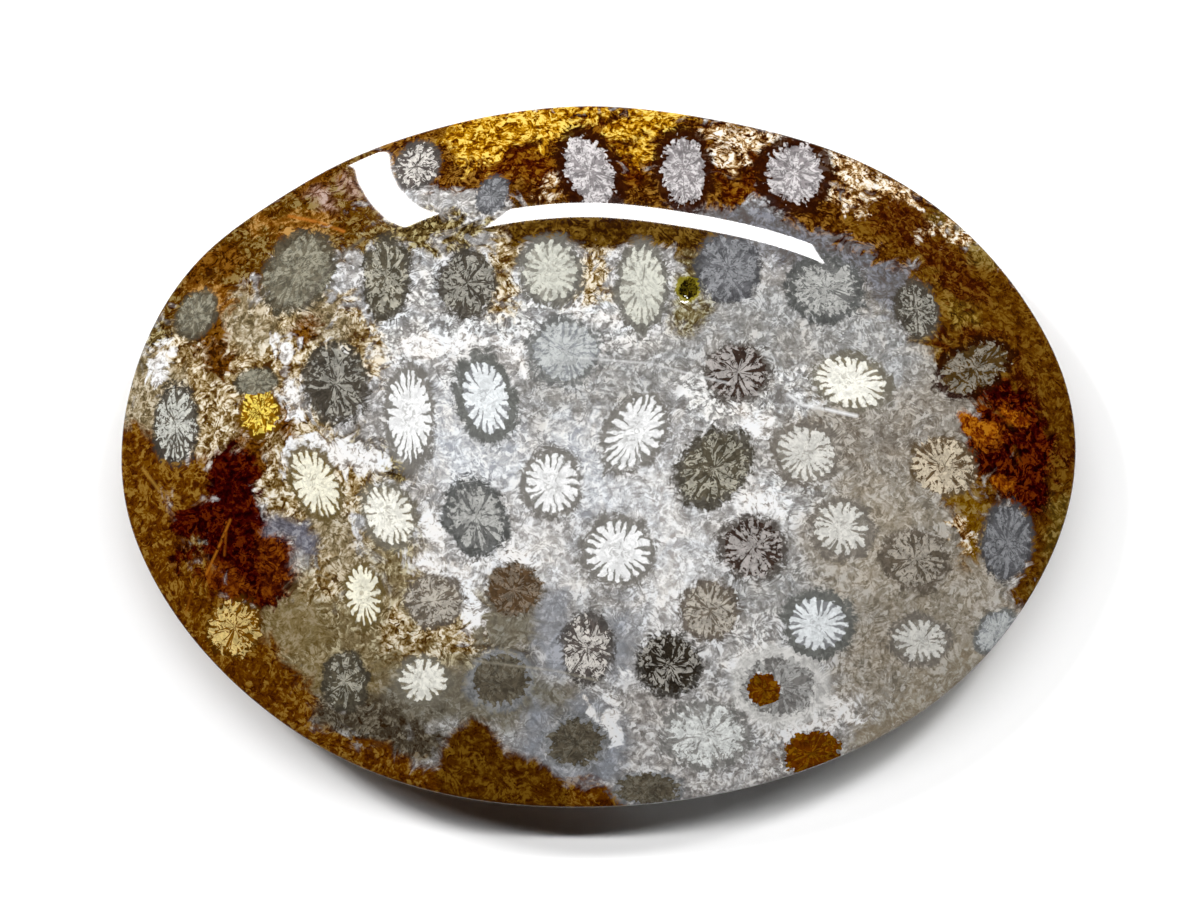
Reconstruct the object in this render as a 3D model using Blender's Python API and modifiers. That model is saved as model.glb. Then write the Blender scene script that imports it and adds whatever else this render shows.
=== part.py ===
"""Fossil coral stone: one oval cabochon of agatised coral, cut and polished on every side.

The stone lies on a flat base. From the base its underside flares out to a thin rounded girdle, the
widest line. Above the girdle a broad bevel rises to a soft shoulder, and the table inside the
shoulder is gently domed. It was ground by hand, so its outline isn't a true ellipse.

Metres, +Z up. The origin is on the base, at the middle of the stone, and +X is its length.
"""

import math

import bmesh
import bpy

# Driving dimensions, in metres.
LENGTH = 0.0460
WIDTH = 0.0350
GIRDLE_HEIGHT = 0.0026
BEVEL_WIDTH = 0.0060
BEVEL_RISE = 0.0027
DOME_RISE = 0.0007
UNDERSIDE_WIDTH = 0.0030

# Roundings, in metres: how far from each edge the ground face starts to turn over it.
GIRDLE_ROUNDING = 0.0006
SHOULDER_ROUNDING = 0.0010
BASE_ROUNDING = 0.0007

# The outline was ground freehand: the turn of each flat (below zero) or swell (above zero), its depth
# in metres, and its spread in degrees.
GROUND_SPOTS = (
    (26, -0.00022, 8),
    (75, -0.00038, 8),
    (109, -0.00022, 8),
    (134, -0.00028, 7),
    (149, 0.00027, 8),
    (188, 0.00015, 6),
    (245, 0.00050, 14),
    (336, -0.00025, 11),
)

# The coarse cage, and the subdivision that smooths it.
CAGE_COLUMNS = 32
SUBDIVISION_LEVELS = 2

COLLECTION_NAME = "fossil_coral_cabochon"
STONE_NAME = "fossil_coral_stone"
STONE_COLOUR = (0.36, 0.33, 0.31, 1.0)
STONE_ROUGHNESS = 0.08


def clear_scene():
    """Remove every object that the file holds."""
    for thing in list(bpy.data.objects):
        bpy.data.objects.remove(thing, do_unlink=True)


def ground_depth(turn):
    """How far the freehand grinding left the edge outside or inside the plain ellipse."""
    total = 0.0
    for degrees, depth, spread in GROUND_SPOTS:
        apart = math.remainder(math.degrees(turn) - degrees, 360) / spread
        total += depth * math.exp(-apart ** 2 / 2)
    return total


def ground_outline(turn, inset):
    """A point in plan: an ellipse as it was ground, moved inwards square to its edge."""
    half_length = LENGTH / 2
    half_width = WIDTH / 2
    normal_x = half_width * math.cos(turn)
    normal_y = half_length * math.sin(turn)
    size = math.hypot(normal_x, normal_y)
    outwards = ground_depth(turn) - inset
    x = half_length * math.cos(turn) + outwards * normal_x / size
    y = half_width * math.sin(turn) + outwards * normal_y / size
    return x, y


def outline_fit():
    """Middle and scale that bring the ground outline to the stated length and width."""
    steps = 720
    edge = [ground_outline(2 * math.pi * step / steps, 0.0) for step in range(steps)]
    low_x = min(x for x, y in edge)
    high_x = max(x for x, y in edge)
    low_y = min(y for x, y in edge)
    high_y = max(y for x, y in edge)
    middle = ((low_x + high_x) / 2, (low_y + high_y) / 2)
    scale = (LENGTH / (high_x - low_x), WIDTH / (high_y - low_y))
    return middle, scale


def stations():
    """Rings of the cage from the base up: inset from the girdle, share of that ring, height."""
    bevel_slope = BEVEL_RISE / BEVEL_WIDTH
    underside_slope = GIRDLE_HEIGHT / UNDERSIDE_WIDTH
    shoulder_height = GIRDLE_HEIGHT + BEVEL_RISE
    top = shoulder_height + DOME_RISE
    table_inset = BEVEL_WIDTH + SHOULDER_ROUNDING

    def table_height(share):
        return top - DOME_RISE * share ** 2

    return (
        (table_inset, 0.0, 0.0),
        (table_inset, 0.5, 0.0),
        (UNDERSIDE_WIDTH + BASE_ROUNDING, 1.0, 0.0),
        (UNDERSIDE_WIDTH, 1.0, 0.0),
        (GIRDLE_ROUNDING, 1.0, GIRDLE_HEIGHT - underside_slope * GIRDLE_ROUNDING),
        (-GIRDLE_ROUNDING / 2, 1.0, GIRDLE_HEIGHT),
        (GIRDLE_ROUNDING, 1.0, GIRDLE_HEIGHT + bevel_slope * GIRDLE_ROUNDING),
        (BEVEL_WIDTH - SHOULDER_ROUNDING, 1.0, shoulder_height - bevel_slope * SHOULDER_ROUNDING),
        (table_inset, 1.0, table_height(1.0)),
        (table_inset, 0.70, table_height(0.70)),
        (table_inset, 0.35, table_height(0.35)),
        (table_inset, 0.0, top),
    )


def build_stone():
    """A sphere's rings moved to the stations, smoothed by Subdivision Surface."""
    rings = stations()
    last = len(rings) - 1
    middle, scale = outline_fit()
    # Subdivision draws a closed ring in by this much, so the cage stands out by as much.
    pull = 3 / (2 + math.cos(2 * math.pi / CAGE_COLUMNS))

    cage = bmesh.new()
    bmesh.ops.create_uvsphere(cage, u_segments=CAGE_COLUMNS, v_segments=last, radius=1.0)
    for vertex in cage.verts:
        depth = math.acos(max(-1.0, min(1.0, vertex.co.z))) / math.pi
        inset, share, level = rings[last - round(depth * last)]
        x, y = ground_outline(math.atan2(vertex.co.y, vertex.co.x), inset)
        vertex.co.x = (x - middle[0]) * scale[0] * share * pull
        vertex.co.y = (y - middle[1]) * scale[1] * share * pull
        vertex.co.z = level
    bmesh.ops.recalc_face_normals(cage, faces=cage.faces)

    mesh = bpy.data.meshes.new(STONE_NAME)
    cage.to_mesh(mesh)
    cage.free()
    mesh.shade_smooth()
    stone = bpy.data.objects.new(STONE_NAME, mesh)

    smoothing = stone.modifiers.new("smoothing", "SUBSURF")
    smoothing.levels = SUBDIVISION_LEVELS
    smoothing.render_levels = SUBDIVISION_LEVELS
    return stone


def polished_agate():
    """Silicified coral after the last polish: grey, hard and glossy."""
    material = bpy.data.materials.new("polished_agatised_coral")
    material.use_nodes = True
    surface = material.node_tree.nodes["Principled BSDF"]
    surface.inputs["Base Color"].default_value = STONE_COLOUR
    surface.inputs["Metallic"].default_value = 0.0
    surface.inputs["Roughness"].default_value = STONE_ROUGHNESS
    surface.inputs["IOR"].default_value = 1.54
    return material


def main():
    clear_scene()
    collection = bpy.data.collections.new(COLLECTION_NAME)
    bpy.context.scene.collection.children.link(collection)
    stone = build_stone()
    stone.data.materials.append(polished_agate())
    collection.objects.link(stone)


main()
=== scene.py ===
"""The looks of a fossil coral cabochon: agatised coral, cut as an oval and polished to a gloss.

The stone is one piece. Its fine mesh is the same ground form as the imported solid, and its coral cups,
iron stains and healed cracks are marks in the polished face. Every mark is placed in millimetres from
the middle of the stone, with +X along its length and +Y away from the viewer.
"""

import math
from collections import namedtuple

import bmesh
import bpy
import numpy as np
from bpy.props import FloatProperty, FloatVectorProperty, IntProperty, PointerProperty
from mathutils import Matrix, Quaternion, Vector, noise


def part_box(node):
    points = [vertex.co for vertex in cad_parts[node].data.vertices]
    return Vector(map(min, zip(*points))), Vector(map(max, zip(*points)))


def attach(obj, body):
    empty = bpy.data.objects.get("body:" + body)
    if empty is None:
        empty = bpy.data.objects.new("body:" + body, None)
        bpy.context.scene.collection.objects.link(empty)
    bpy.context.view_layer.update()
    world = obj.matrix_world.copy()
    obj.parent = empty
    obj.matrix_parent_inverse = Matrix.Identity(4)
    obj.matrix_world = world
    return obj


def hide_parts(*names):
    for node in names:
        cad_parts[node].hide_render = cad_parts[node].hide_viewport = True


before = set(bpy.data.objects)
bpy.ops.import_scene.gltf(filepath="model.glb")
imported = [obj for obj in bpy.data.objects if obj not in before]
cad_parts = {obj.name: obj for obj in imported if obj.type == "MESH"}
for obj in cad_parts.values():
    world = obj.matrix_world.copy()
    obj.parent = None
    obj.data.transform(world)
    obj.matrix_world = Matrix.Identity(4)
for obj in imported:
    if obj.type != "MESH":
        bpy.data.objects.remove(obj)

bl_info = {
    "name": "Fossil coral cabochon",
    "version": (1, 0, 0),
    "blender": (4, 5, 0),
    "location": "View3D > Sidebar > Fossil coral",
    "description": "Builds a polished cabochon of agatised fossil coral and its small studio",
    "category": "Add Mesh",
}

NODE = "fossil_coral_stone"
SLOT = "polished_agatised_coral"
MM = 0.001
CAD_LOW, CAD_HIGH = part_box(NODE)
CAD_SIZE = CAD_HIGH - CAD_LOW

# The colour codes are as the stone looks under the panels. This share of them is its own colour.
LIT_SHARE = 0.71


def hex_colour(code):
    """An sRGB hex code as a linear colour with full alpha."""
    channels = [int(code[place:place + 2], 16) / 255 for place in (1, 3, 5)]
    linear = [
        value / 12.92 if value <= 0.04045 else ((value + 0.055) / 1.055) ** 2.4
        for value in channels
    ]
    return (*linear, 1.0)


def stone_colour(code):
    """A colour of the stone, without what the panels add."""
    red, green, blue, alpha = hex_colour(code)
    return (red * LIT_SHARE, green * LIT_SHARE, blue * LIT_SHARE, alpha)


# The ground form: the same cage as the solid's, subdivided further.

GIRDLE_HEIGHT = 0.0026
BEVEL_WIDTH = 0.0060
BEVEL_RISE = 0.0027
DOME_RISE = 0.0007
UNDERSIDE_WIDTH = 0.0030
GIRDLE_ROUNDING = 0.0006
SHOULDER_ROUNDING = 0.0010
BASE_ROUNDING = 0.0007
CAGE_COLUMNS = 32

# Flats (below zero) and swells (above zero) of the freehand outline: turn, depth in metres, spread.
GROUND_SPOTS = (
    (26, -0.00022, 8),
    (75, -0.00038, 8),
    (109, -0.00022, 8),
    (134, -0.00028, 7),
    (149, 0.00027, 8),
    (188, 0.00015, 6),
    (245, 0.00050, 14),
    (336, -0.00025, 11),
)

# A small open pit in the table: middle in millimetres, half length, half width, turn and depth.
PIT = (4.15, 6.75, 0.50, 0.36, 75, 0.16)

# Coral cups. Each look is: septa colour, gap colour, moat colour, moat reach as a share of the cup's
# radius, and how far the septa have broken into tangled threads.

CUP_LOOKS = {
    "bright": ("#ffffff", "#87857f", "#827e78", 1.34, 0.12),
    "cool": ("#f4f8fa", "#8f9092", "#6d6e6a", 1.50, 0.15),
    "cream": ("#fffdf2", "#857c68", "#7b7567", 1.32, 0.18),
    "ivory": ("#fffbe6", "#7b683c", "#6d5c38", 1.28, 0.15),
    "beige": ("#d8cab1", "#66523a", "#66543c", 1.18, 0.50),
    "dull": ("#b0a89b", "#645a4d", "#6b6155", 1.35, 0.55),
    "faint": ("#d6d6ca", "#98958a", "#75726a", 1.38, 0.35),
    "soft": ("#e2e0d9", "#8a847a", "#7d766d", 1.36, 0.28),
    "mist": ("#c4c7c6", "#94979a", "#7b7c7a", 1.32, 0.45),
    "pale": ("#eef0ed", "#9f9d99", "#8e8c88", 1.34, 0.50),
    "grey": ("#b6b6b2", "#6f6f6d", "#5b5c5a", 1.40, 0.55),
    "curled": ("#d2cdc6", "#5c5450", "#55504c", 1.30, 0.75),
    "ringed": ("#b4b3b0", "#827f7c", "#dddbd7", 1.50, 0.60),
    "ragged": ("#cfcfc6", "#5e584e", "#46413a", 1.30, 0.60),
    "plain": ("#8f8b7a", "#6b6555", "#544d3e", 1.30, 0.90),
    "slate": ("#8e8f92", "#646467", "#545457", 1.25, 0.70),
    "smoky": ("#aca899", "#5a5344", "#4f493d", 1.36, 0.85),
    "dusky": ("#9f9c92", "#4a443b", "#4d473e", 1.32, 0.80),
    "spoked": ("#b0aaa6", "#3d2f28", "#5c554f", 1.25, 0.55),
    "black": ("#a5a199", "#332c23", "#3f3a33", 1.26, 0.90),
    "tan": ("#bab3a7", "#6f6558", "#6b6156", 1.28, 0.60),
    "umber": ("#7e7060", "#58442f", "#6e6456", 1.20, 0.95),
    "gold": ("#ffe264", "#8a5c06", "#6a4508", 1.30, 0.80),
    "straw": ("#dcc07a", "#774a08", "#5a3605", 1.20, 0.80),
    "amber": ("#835508", "#633003", "#8d8a86", 1.05, 0.90),
    "frosted": ("#cfcaca", "#8f898a", "#301103", 1.55, 0.90),
    "fan": ("#8e877a", "#4f3a1a", "#2c1103", 1.35, 0.80),
    # The pit's look: its golden-olive moat is the stone's own colour; its dark olive and near-black
    # middle is painted shade in the pit's hollow, over olive stone.
    "pit_with_painted_shade": ("#54480c", "#1a1203", "#8f8426", 1.50, 0.90),
    "olive": ("#716b5d", "#5c5446", "#8a8b8c", 1.32, 0.95),
}

# Cups of the crown: x, y, half length and half width in millimetres, turn, septa, look.
CROWN_CUPS = (
    (-0.45, 13.4, 2.05, 1.1, 106, 26, "frosted"),
    (4.15, 13.5, 1.95, 1.05, 92, 24, "frosted"),
    (9.6, 13.6, 1.75, 1.35, 80, 24, "frosted"),
    (-8.9, 14.0, 1.25, 0.95, 80, 20, "curled"),
    (-5.2, 12.0, 1.0, 0.7, 70, 20, "slate"),
    (-14.5, 8.2, 2.0, 1.45, 70, 24, "plain"),
    (-10.2, 7.7, 1.85, 0.95, 90, 26, "smoky"),
    (-6.3, 7.3, 1.5, 1.15, 90, 22, "dusky"),
    (-2.3, 7.9, 1.5, 1.25, 90, 19, "faint"),
    (2.1, 7.1, 1.95, 1.05, 90, 19, "faint"),
    (6.2, 8.1, 1.6, 1.35, 90, 24, "slate"),
    (10.9, 7.1, 1.5, 1.4, 0, 26, "grey"),
    (15.3, 6.2, 1.3, 0.9, 95, 20, "dusky"),
    (-19.5, 6.4, 1.15, 0.85, 70, 18, "plain"),
    (-12.5, 2.3, 1.7, 1.3, 100, 24, "dusky"),
    (-8.95, 0.65, 2.15, 1.0, 93, 22, "bright"),
    (-5.35, 1.5, 1.75, 1.05, 103, 19, "cool"),
    (-1.6, 3.8, 1.5, 1.4, 0, 26, "mist"),
    (6.6, 2.75, 1.4, 1.3, 0, 20, "spoked"),
    (12.0, 2.35, 1.65, 1.2, -15, 20, "cream"),
    (18.0, 3.4, 1.9, 1.05, 35, 22, "fan"),
    (-20.25, 0.75, 1.75, 0.95, 95, 20, "ragged"),
    (-16.1, 1.0, 1.1, 0.85, 90, 20, "gold"),
    (-16.3, 2.5, 0.9, 0.6, 0, 16, "plain"),
    (1.7, -0.25, 1.85, 1.2, 60, 20, "bright"),
    (9.75, -1.2, 1.35, 1.25, -20, 20, "soft"),
    (16.3, -1.65, 1.45, 1.3, -10, 20, "beige"),
    (5.45, -1.95, 1.75, 1.3, 48, 22, "smoky"),
    (-2.2, -2.7, 1.4, 1.2, 100, 19, "bright"),
    (-13.35, -2.6, 1.7, 0.95, 117, 19, "ivory"),
    (-9.85, -4.15, 1.45, 1.05, 115, 19, "cream"),
    (-5.75, -4.3, 1.55, 1.2, 110, 24, "grey"),
    (7.2, -5.75, 1.4, 1.35, 0, 24, "spoked"),
    (11.4, -4.75, 1.25, 1.2, 0, 19, "soft"),
    (19.4, -5.0, 1.6, 1.1, 80, 24, "slate"),
    (0.9, -5.95, 1.45, 1.4, 0, 20, "bright"),
    (14.9, -6.1, 1.3, 1.2, 0, 24, "dull"),
    (-11.0, -7.95, 1.35, 0.8, 97, 17, "ivory"),
    (-7.7, -8.25, 1.2, 1.1, 0, 24, "tan"),
    (-4.0, -7.75, 1.25, 1.15, 0, 26, "umber"),
    (5.2, -8.7, 1.2, 1.2, 0, 22, "tan"),
    (10.25, -9.25, 1.3, 1.15, 0, 19, "cool"),
    (15.15, -9.8, 1.25, 0.95, 0, 16, "soft"),
    (-17.2, -9.1, 1.25, 1.15, 0, 20, "straw"),
    (-11.9, -11.8, 1.1, 0.9, 90, 18, "smoky"),
    (-8.2, -11.85, 1.1, 0.9, 0, 14, "cream"),
    (-4.6, -11.9, 1.3, 1.1, 0, 24, "olive"),
    (-0.55, -10.45, 1.4, 1.05, 90, 24, "curled"),
    (3.3, -11.2, 1.3, 1.25, 0, 24, "black"),
    (8.4, -12.1, 1.7, 1.3, 0, 26, "ringed"),
    (7.7, -12.25, 0.8, 0.75, 0, 22, "amber"),
    (5.0, -14.3, 1.75, 1.3, 0, 16, "pale"),
    (10.0, -15.0, 1.35, 0.95, 15, 26, "amber"),
    (-1.1, -14.7, 1.25, 1.0, 0, 28, "olive"),
    (2.3, -16.7, 1.4, 0.7, 0, 22, "olive"),
    (18.9, -9.2, 1.1, 0.8, 40, 20, "mist"),
    # The open pit, drawn as a cup: its dark middle is painted shade in the hollow, and its golden-olive
    # moat is the stone's colour.
    (4.28, 7.0, 0.52, 0.45, 75, 9, "pit_with_painted_shade"),
)

# A later cup lies over an earlier one out to this share of its own radius.
CUP_HOLD = 1.05

# Cups of the underside are the same corallites met 4 to 6 mm deeper. These are how far they draw in,
# shift, change size and lean, the looks that they are drawn from, and the seed of the draw.
DEEPER_SPREAD = 0.90
DEEPER_SHIFT = 0.45
DEEPER_SIZES = (0.85, 1.08)
DEEPER_LEAN = 25
DEEPER_LOOKS = ("cream", "faint", "soft", "grey", "slate", "smoky", "tan", "beige", "bright", "mist")
DEEPER_SEED = 11

# Ground and stains, from the lowest layer up. Each is: five colours from its dark specks to its light
# ones, how far noise drives its edge in and out, how softly it ends, and its strokes. A stroke is a
# half width and the points that it runs through. All in millimetres.

CHALCEDONY = ("#827f7c", "#999795", "#acaaa8", "#c3c1c0", "#eeeeee")

STAINS = (
    ("warm_grey", ("#6e655a", "#857d72", "#938c82", "#a39d93", "#c2bcb2"), 1.2, 2.0, (
        (4.5, (11.5, 4.0), (12.5, -2.0), (15.0, -9.0)),
        (3.0, (16.4, 3.4), (17.0, -5.0)),
    )),
    ("dull_grey", ("#7b7875", "#8f8e8a", "#9f9d9b", "#b1b1af", "#d5d4d1"), 1.0, 1.2, (
        (1.6, (-2.2, 1.2), (0.5, 2.0), (4.0, 3.4)),
        (2.4, (6.2, 5.4), (10.4, 4.8), (12.8, 4.0)),
        (0.9, (6.0, -0.6), (7.4, -1.6)),
        (1.0, (3.6, -4.0), (4.2, -6.5)),
        (1.0, (-2.6, -7.0), (-0.8, -8.6)),
        (1.2, (6.9, -8.0), (9.2, -7.2)),
    )),
    ("lilac_white", ("#aaacb2", "#c1c3c7", "#d5d7d9", "#e4e7eb", "#fdffff"), 1.0, 1.2, (
        (1.5, (-7.4, 0.3), (-6.2, -1.4), (-4.4, -1.6)),
        (1.2, (-1.0, -0.4), (-0.4, -1.6), (0.4, -3.2)),
    )),
    ("bright_grey", ("#b1acaa", "#c5c4c3", "#d8d7d6", "#ececeb", "#ffffff"), 1.2, 1.4, (
        (1.6, (2.6, -3.2), (3.6, -7.0)),
        (1.2, (7.2, -3.6), (9.0, -3.2)),
        (1.0, (-3.0, -5.6), (-1.6, -7.4)),
    )),
    ("lilac_brown", ("#5a514e", "#615d5c", "#6b6a6c", "#75757c", "#88888f"), 0.8, 1.2, (
        (1.7, (5.9, 11.0), (9.0, 10.0), (12.4, 9.4), (14.2, 8.2)),
        (1.0, (13.3, 8.4), (14.9, 6.6)),
    )),
    ("bottom_grey", ("#827d79", "#a09c99", "#b5b2af", "#cdcac7", "#f2f1ef"), 0.9, 1.0, (
        (2.6, (-1.5, -15.5), (3.0, -15.0), (8.5, -15.0)),
        (1.8, (-2.5, -9.6), (-2.0, -12.0)),
    )),
    ("white_speckle", ("#7a7774", "#979594", "#b2b2b1", "#d7d8d5", "#ffffff"), 1.1, 0.8, (
        (1.3, (-10.5, 4.6), (-7.5, 4.3), (-4.2, 5.4), (-1.0, 6.2), (1.8, 5.4)),
        (0.7, (-8.4, 6.6), (-8.2, 8.6)),
        (0.9, (-4.3, 9.0), (-4.2, 6.0)),
        (1.1, (4.4, 1.6), (6.6, 0.6), (8.8, 1.2), (9.6, 2.2)),
        (0.8, (10.2, -3.4), (8.6, -3.2)),
        (1.1, (6.9, -12.0), (7.8, -13.6), (10.2, -13.6)),
        (0.8, (7.0, -9.8), (8.6, -10.6), (10.4, -11.2)),
        (0.7, (-0.6, -16.4), (-2.2, -15.8)),
    )),
    ("taupe", ("#7b7263", "#958b7a", "#a39a89", "#aea598", "#c9c2b6"), 0.9, 1.8, (
        (3.4, (13.6, -5.6), (15.6, -8.0), (16.4, -10.4)),
        (1.8, (17.8, -6.0), (18.0, -10.0)),
        (1.5, (12.4, -9.6), (12.6, -11.4)),
    )),
    ("taupe_edge", ("#8c7e6a", "#998d79", "#a29785", "#aaa291", "#bcb6a9"), 0.6, 1.0, (
        (1.0, (12.8, -14.4), (16.6, -12.0), (19.6, -9.0)),
    )),
    ("olive_haze", ("#594624", "#716040", "#837352", "#998a67", "#cbbf9c"), 1.0, 1.0, (
        (2.6, (-14.6, -9.6), (-10.0, -9.8), (-6.2, -10.0)),
        (1.4, (-15.0, -7.9), (-12.4, -7.0)),
        (1.6, (-9.6, -5.6), (-8.9, -7.0)),
    )),
    ("olive_low", ("#665229", "#7a6842", "#86744b", "#8f7e5a", "#a49475"), 0.7, 0.8, (
        (1.5, (-15.6, -9.4), (-14.0, -9.2)),
        (1.2, (-13.6, -11.6), (-10.0, -12.4)),
    )),
    ("low_grey", ("#665f51", "#726b5d", "#7a7463", "#827b6c", "#928f83"), 0.7, 0.8, (
        (1.5, (-9.0, -12.9), (-6.4, -12.4), (-2.8, -12.8)),
        (1.2, (-5.4, -9.8), (-3.0, -9.4)),
        (0.9, (-3.4, -11.8), (-1.4, -12.6)),
    )),
    ("dark_low", ("#33210c", "#443a2c", "#4e4537", "#625949", "#837b6a"), 0.8, 0.7, (
        (1.2, (-13.0, -13.4), (-10.4, -13.9), (-8.4, -14.9)),
        (0.5, (-5.8, -10.7), (-3.6, -11.0)),
    )),
    ("blue_ring", ("#818286", "#8b8d91", "#94979c", "#9ea0a6", "#b3b5bb"), 0.4, 0.6, (
        (0.9, (-2.1, -8.6), (-2.0, -11.2)),
        (0.8, (-2.8, -13.8), (-2.9, -15.4), (-1.6, -16.4), (0.4, -15.9), (0.7, -14.3), (-0.6, -13.2)),
        (0.5, (0.9, -9.4), (1.0, -11.6)),
    )),
    ("cream_speckle", ("#44270a", "#6f5222", "#9c865a", "#c8b592", "#f8efdb"), 1.2, 0.6, (
        (2.6, (-19.8, 3.6), (-17.2, 3.4), (-14.6, 4.6)),
        (1.9, (-18.4, 0.8), (-14.4, -0.2)),
        (1.7, (-15.4, -2.4), (-11.6, -3.0)),
        (1.3, (-15.0, -3.4), (-12.4, -5.6), (-12.4, -6.6)),
        (1.1, (-9.4, -9.6), (-6.6, -9.8)),
        (1.2, (-12.0, 5.4), (-11.4, 3.8)),
        (1.0, (-4.6, 10.0), (-4.9, 7.0)),
        (0.9, (-0.3, 8.8), (-0.6, 6.8)),
        (0.8, (-21.3, -3.8), (-20.8, -5.2)),
    )),
    ("tan_speckle", ("#56482f", "#786848", "#958464", "#b0a184", "#d4c8b0"), 1.0, 0.6, (
        (1.6, (-21.8, 3.2), (-21.9, 0.2)),
        (1.3, (-17.6, 6.8), (-16.6, 5.4)),
        (1.0, (-12.9, -4.2), (-11.7, -6.2)),
        (0.9, (-13.6, 6.2), (-12.6, 4.8)),
    )),
    ("moss", ("#2c1d08", "#443212", "#5e4a24", "#7a683e", "#b8ab7c"), 0.9, 0.5, (
        (1.1, (-12.2, 10.2), (-8.6, 10.1), (-6.2, 10.2)),
        (0.7, (-20.2, -4.6), (-18.8, -5.0)),
        (0.6, (-9.6, -2.0), (-11.6, -0.8)),
        (0.6, (-21.7, 5.6), (-20.6, 6.6)),
    )),
    ("bevel_olive", ("#391701", "#4b2801", "#563302", "#654205", "#8f7846"), 0.9, 0.5, (
        (2.2, (-20.2, 8.2), (-17.6, 10.0), (-14.8, 11.6), (-12.0, 13.4)),
        (1.3, (-13.6, 10.2), (-11.4, 10.9)),
        (1.0, (-15.8, 8.0), (-16.8, 9.2)),
    )),
    ("rose_orange", ("#3c220b", "#63402c", "#85604e", "#a48474", "#c2aaa0"), 0.5, 0.5, (
        (0.35, (-13.9, 13.0), (-13.2, 11.8)),
        (0.25, (-12.5, 13.4), (-12.0, 12.6)),
    )),
    ("bevel_orange", ("#5a2b01", "#6d3e05", "#80551a", "#976628", "#bb8f50"), 0.7, 0.4, (
        (0.6, (-16.4, 11.2), (-13.4, 10.9)),
        (0.6, (-19.6, 8.0), (-18.4, 7.0)),
    )),
    ("brown_spots", ("#2b1200", "#462001", "#5a3102", "#6b4006", "#825619"), 0.8, 0.4, (
        (0.8, (-19.6, 8.9), (-18.2, 9.4)),
        (0.75, (-18.9, 5.1), (-18.5, 4.3), (-18.3, 3.6)),
        (0.5, (-13.9, 5.0), (-13.9, 5.4)),
        (0.7, (-16.4, -0.6), (-16.2, -1.6)),
        (0.4, (-15.1, 1.4), (-15.0, 0.2)),
        (0.6, (-15.0, 13.4), (-13.4, 14.0)),
    )),
    ("low_amber", ("#421a01", "#552a02", "#643602", "#744804", "#96702c"), 0.5, 0.4, (
        (1.6, (-22.7, -0.6), (-21.9, -3.4), (-20.0, -7.0)),
        (2.2, (-19.6, -8.6), (-17.6, -10.8), (-15.6, -12.9)),
        (1.2, (-15.2, -13.9), (-12.0, -15.4), (-8.0, -16.8), (-3.6, -17.4), (0.2, -17.6)),
        (0.8, (-20.8, -4.6), (-19.2, -4.3)),
        (1.2, (-20.6, -1.6), (-19.2, -2.4), (-19.6, -3.2)),
        (0.9, (-19.9, -5.6), (-18.8, -6.6), (-18.2, -7.8)),
    )),
    ("amber_lobe", ("#3c1700", "#4a2501", "#532e02", "#643f07", "#7a5614"), 0.22, 0.25, (
        (1.6, (-6.0, -15.8), (-5.8, -16.6)),
        (1.2, (-5.9, -14.9), (-5.5, -15.4)),
        (1.2, (-4.4, -16.2), (-2.6, -17.0)),
    )),
    ("gold_low", ("#86570f", "#a4761d", "#be9638", "#d6b564", "#ffefb2"), 0.7, 0.3, (
        (0.22, (-17.9, -8.4), (-16.4, -9.6)),
    )),
    ("oxblood", ("#160001", "#250101", "#360301", "#470b01", "#602302"), 0.55, 0.25, (
        (1.2, (-17.3, -1.9), (-17.2, -3.4), (-17.8, -4.6)),
        (1.7, (-17.2, -4.4), (-16.4, -5.8), (-16.0, -6.6)),
        (0.9, (-19.6, -4.0), (-18.4, -3.8)),
        (0.7, (-17.4, -7.2), (-15.2, -7.5)),
        (0.5, (-19.8, -5.6), (-19.4, -6.0)),
    )),
    ("rust", ("#2c0501", "#431202", "#5a2202", "#6f3205", "#884a0d"), 0.6, 0.4, (
        (0.9, (-15.2, -5.4), (-14.9, -6.8)),
        (0.5, (-18.2, -6.8), (-16.9, -7.4)),
    )),
    ("slate_crescent", ("#55525a", "#66646c", "#74727b", "#807f88", "#9a999f"), 0.35, 0.3, (
        (0.5, (-15.2, -4.5), (-14.1, -4.8), (-13.7, -5.6)),
    )),
    ("top_amber", ("#240600", "#3b1701", "#4d2602", "#653f09", "#976c2a"), 0.8, 0.4, (
        (2.2, (-8.4, 15.0), (-4.0, 15.2), (0.6, 15.4), (5.0, 15.0), (8.6, 14.4)),
        (1.6, (-6.8, 13.8), (-3.0, 12.9), (-2.2, 11.9)),
        (1.3, (1.6, 13.0), (2.4, 12.2), (6.6, 12.4)),
        (1.5, (10.2, 12.0), (12.6, 10.9), (14.6, 10.0)),
        (1.4, (6.4, 14.6), (8.4, 15.0), (12.6, 13.6), (15.6, 12.0)),
    )),
    ("top_dark", ("#240200", "#3d0e01", "#511f02", "#643202", "#8b5c12"), 0.7, 0.4, (
        (1.1, (-5.2, 14.2), (-3.6, 14.4), (-2.6, 13.4)),
        (0.7, (-1.9, 15.2), (-0.7, 16.3), (0.6, 15.2), (1.3, 13.4)),
        (0.7, (2.8, 14.2), (3.4, 15.2), (4.9, 15.3), (5.6, 13.6)),
        (0.8, (7.9, 13.2), (8.4, 14.8), (10.4, 15.0)),
        (0.5, (6.5, 12.0), (7.6, 12.3)),
    )),
    ("gold_leaf", ("#4c2001", "#7a4502", "#a9730b", "#d6a01e", "#fddd6c"), 1.1, 0.35, (
        (1.5, (-6.4, 15.4), (-4.2, 16.4), (-2.2, 16.4)),
        (0.8, (-6.6, 14.6), (-7.4, 15.8)),
        (1.0, (1.4, 15.8), (2.2, 16.6), (3.4, 16.6)),
        (0.5, (0.2, 17.2), (-1.4, 17.2)),
        (0.4, (2.2, 14.6), (2.0, 15.2)),
    )),
    ("dark_tips", ("#2c0a00", "#451e02", "#5b3202", "#764a0b", "#9b702e"), 0.7, 0.4, (
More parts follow.
